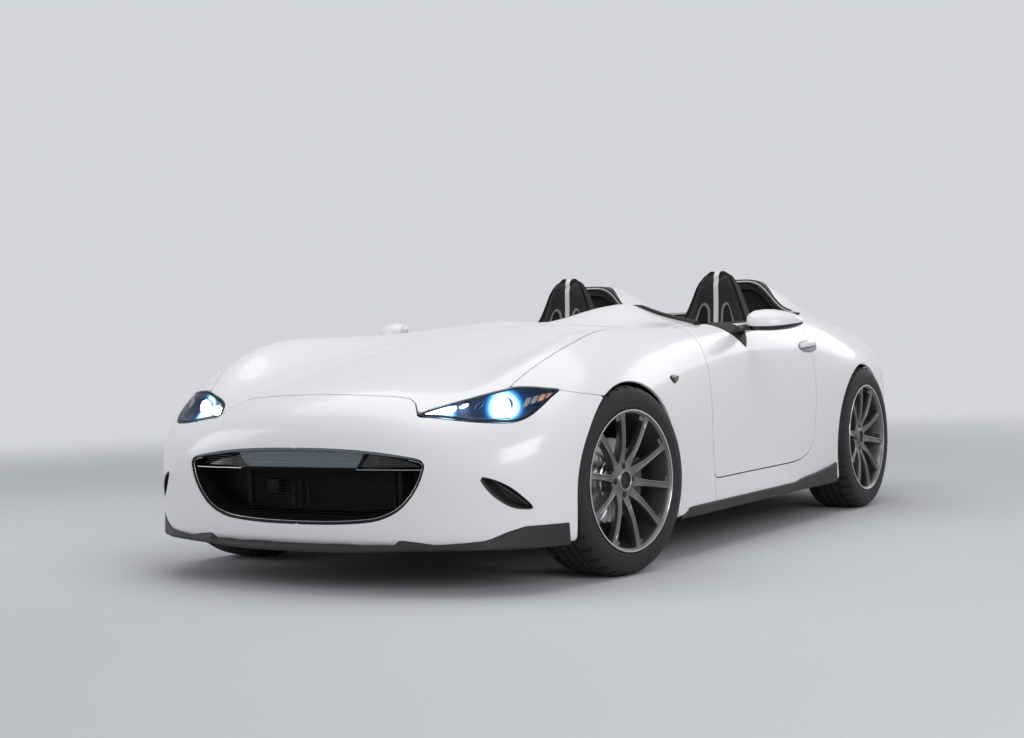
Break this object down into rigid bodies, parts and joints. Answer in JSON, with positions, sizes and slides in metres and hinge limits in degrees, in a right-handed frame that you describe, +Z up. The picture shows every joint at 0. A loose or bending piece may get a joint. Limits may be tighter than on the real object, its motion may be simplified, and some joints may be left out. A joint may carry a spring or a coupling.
{
  "type": "open two-seat roadster",
  "caption": "Open two-seat roadster without a windscreen, with low white bodywork, bucket seats, headrest fairings, hinged panels and steered front wheels",
  "frame": {"origin": "On the ground under the middle of the car's bounding box", "axes": "X to the car's left, Y to its tail, Z up"},
  "size_m": [1.9758, 3.92, 1.073],
  "materials": {
    "body_paint": "satin pearl white",
    "lamp_glass": "clear lamp cover",
    "tail_lamp": "deep red lens",
    "chassis_metal": "satin black coated steel",
    "cabin_trim": "grained black",
    "black_trim": "matte black",
    "brushed_bar": "brushed grey",
    "cooler": "dark core",
    "engine_metal": "cast",
    "exhaust_metal": "brushed",
    "seat_trim": "black cloth with a white centre stripe",
    "wheel_metal": "satin gunmetal",
    "tyre": "black rubber",
    "knuckle_metal": "cast"
  },
  "bodies": {
    "body": {"front_bumper": "body_paint", "front_wing_left": "body_paint", "front_wing_right": "body_paint", "cowl_panel": "body_paint", "rear_quarter_left": "body_paint", "rear_quarter_right": "body_paint", "rear_deck": "body_paint", "rear_bumper": "body_paint", "headlamp_left": "lamp_glass", "headlamp_right": "lamp_glass", "tail_lamps": "tail_lamp", "front_chassis": "chassis_metal", "rear_chassis": "chassis_metal", "dashboard": "cabin_trim", "floor_pan": "chassis_metal", "front_splitter": "black_trim", "side_skirt_left": "black_trim", "side_skirt_right": "black_trim", "grille_surround": "black_trim", "grille_bar": "brushed_bar", "radiator": "cooler", "engine_block": "engine_metal", "front_suspension": "chassis_metal", "rear_suspension": "chassis_metal", "exhaust": "exhaust_metal", "seat_left": "seat_trim", "seat_right": "seat_trim", "roll_hoops": "seat_trim"},
    "bonnet_panel": {"bonnet": "body_paint"},
    "boot": {"boot_lid": "body_paint"},
    "left_door": {"door_left": "body_paint", "mirror_left": "body_paint"},
    "right_door": {"door_right": "body_paint", "mirror_right": "body_paint"},
    "helm": {"steering_wheel": "cabin_trim"},
    "left_knuckle": {"knuckle_left": "knuckle_metal"},
    "right_knuckle": {"knuckle_right": "knuckle_metal"},
    "front_left_wheel": {"wheel_front_left": "wheel_metal", "tyre_front_left": "tyre"},
    "front_right_wheel": {"wheel_front_right": "wheel_metal", "tyre_front_right": "tyre"},
    "rear_left_wheel": {"wheel_rear_left": "wheel_metal", "tyre_rear_left": "tyre"},
    "rear_right_wheel": {"wheel_rear_right": "wheel_metal", "tyre_rear_right": "tyre"}
  },
  "joints": [
    {"name": "bonnet_hinge", "type": "hinge", "parent": "body", "child": "bonnet_panel", "pos_m": [0, -0.55, 0.866], "axis": [-1, 0, 0], "range_deg": [0, 62]},
    {"name": "boot_hinge", "type": "hinge", "parent": "body", "child": "boot", "pos_m": [0, 1.367, 0.906], "axis": [1, 0, 0], "range_deg": [0, 72]},
    {"name": "left_door_hinge", "type": "hinge", "parent": "body", "child": "left_door", "pos_m": [0.864, -0.5445, 0.5], "axis": [0, 0, -1], "range_deg": [0, 62]},
    {"name": "right_door_hinge", "type": "hinge", "parent": "body", "child": "right_door", "pos_m": [-0.864, -0.5445, 0.5], "axis": [0, 0, 1], "range_deg": [0, 62]},
    {"name": "steering_left", "type": "hinge", "parent": "body", "child": "left_knuckle", "pos_m": [0.69, -1.21, 0.3148], "axis": [0, 0, 1], "range_deg": [-23.5, 40.5]},
    {"name": "steering_right", "type": "hinge", "parent": "body", "child": "right_knuckle", "pos_m": [-0.69, -1.21, 0.3148], "axis": [0, 0, 1], "range_deg": [-23.5, 40.5]},
    {"name": "steering_wheel_turn", "type": "hinge", "parent": "body", "child": "helm", "pos_m": [0.365, -0.02, 0.69], "axis": [0, 0.9272, 0.3746], "range_deg": [-329, 567]},
    {"name": "front_left_spin", "type": "hinge", "parent": "left_knuckle", "child": "front_left_wheel", "pos_m": [0.75775, -1.22012, 0.3148], "axis": [0.989, -0.1478, 0], "continuous": true},
    {"name": "front_right_spin", "type": "hinge", "parent": "right_knuckle", "child": "front_right_wheel", "pos_m": [-0.75775, -1.19988, 0.3148], "axis": [0.989, -0.1478, 0], "continuous": true},
    {"name": "rear_left_spin", "type": "hinge", "parent": "body", "child": "rear_left_wheel", "pos_m": [0.7585, 1.1, 0.3148], "axis": [1, 0, 0], "continuous": true},
    {"name": "rear_right_spin", "type": "hinge", "parent": "body", "child": "rear_right_wheel", "pos_m": [-0.7585, 1.1, 0.3148], "axis": [1, 0, 0], "continuous": true}
  ],
  "couplings": [
    {"joint": "steering_right", "follows": "steering_left", "ratio": 1},
    {"joint": "steering_wheel_turn", "follows": "steering_left", "ratio": 14}
  ]
}
